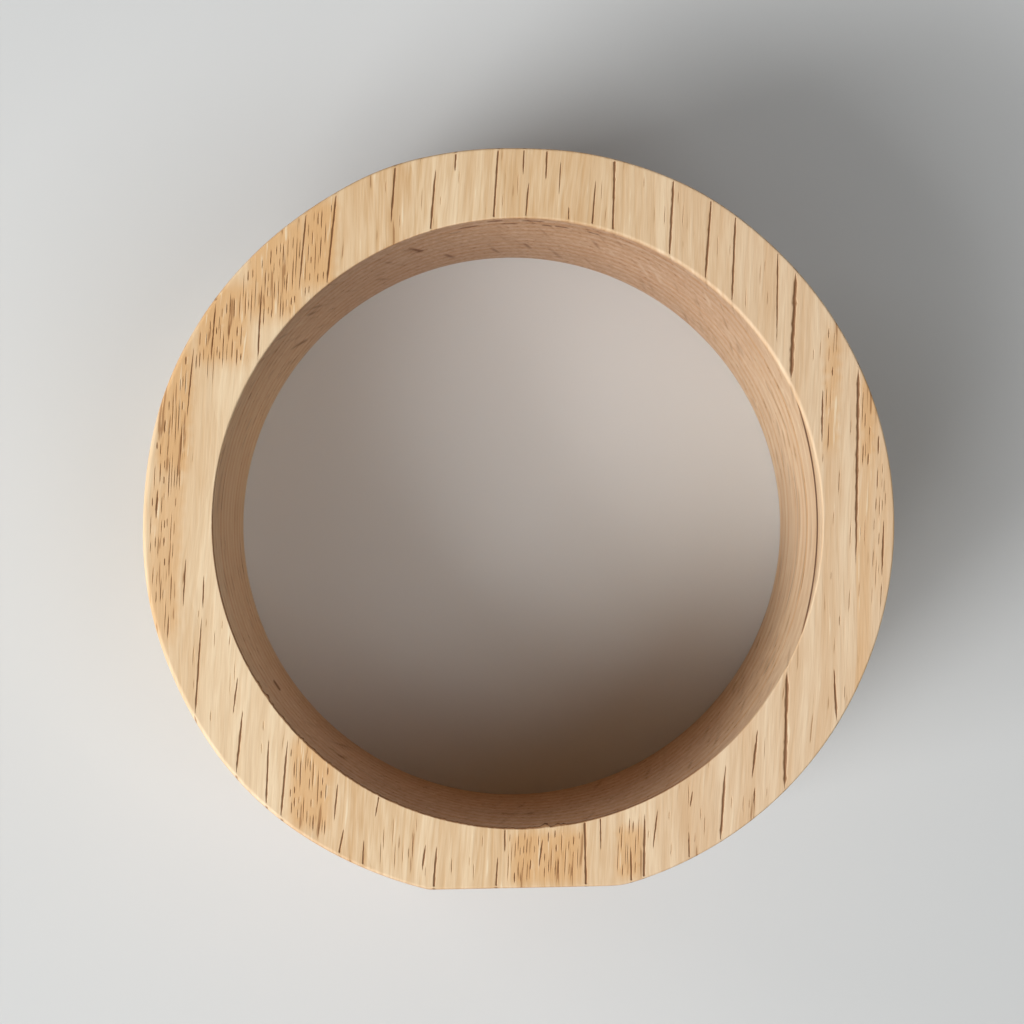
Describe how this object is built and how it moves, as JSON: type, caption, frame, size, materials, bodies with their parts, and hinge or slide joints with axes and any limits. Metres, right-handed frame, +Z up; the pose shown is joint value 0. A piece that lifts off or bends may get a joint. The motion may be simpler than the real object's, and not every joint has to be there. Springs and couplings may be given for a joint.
{
  "type": "napkin ring",
  "caption": "Turned wooden napkin ring: a plain round band with a through bore, softly eased edges and one small flat on its side to lie on.",
  "frame": {"origin": "on the bore's axis, in the plane of the end face that the ring stands on", "axes": "+Z up along the bore's axis, out of the upper end face; the small flat on the side faces -Y; +X completes the right-handed frame"},
  "size_m": [0.0494, 0.0486, 0.025],
  "materials": {
    "oak": "satin, lightly oiled"
  },
  "bodies": {
    "root": {"napkin_ring": "oak"}
  },
  "joints": []
}
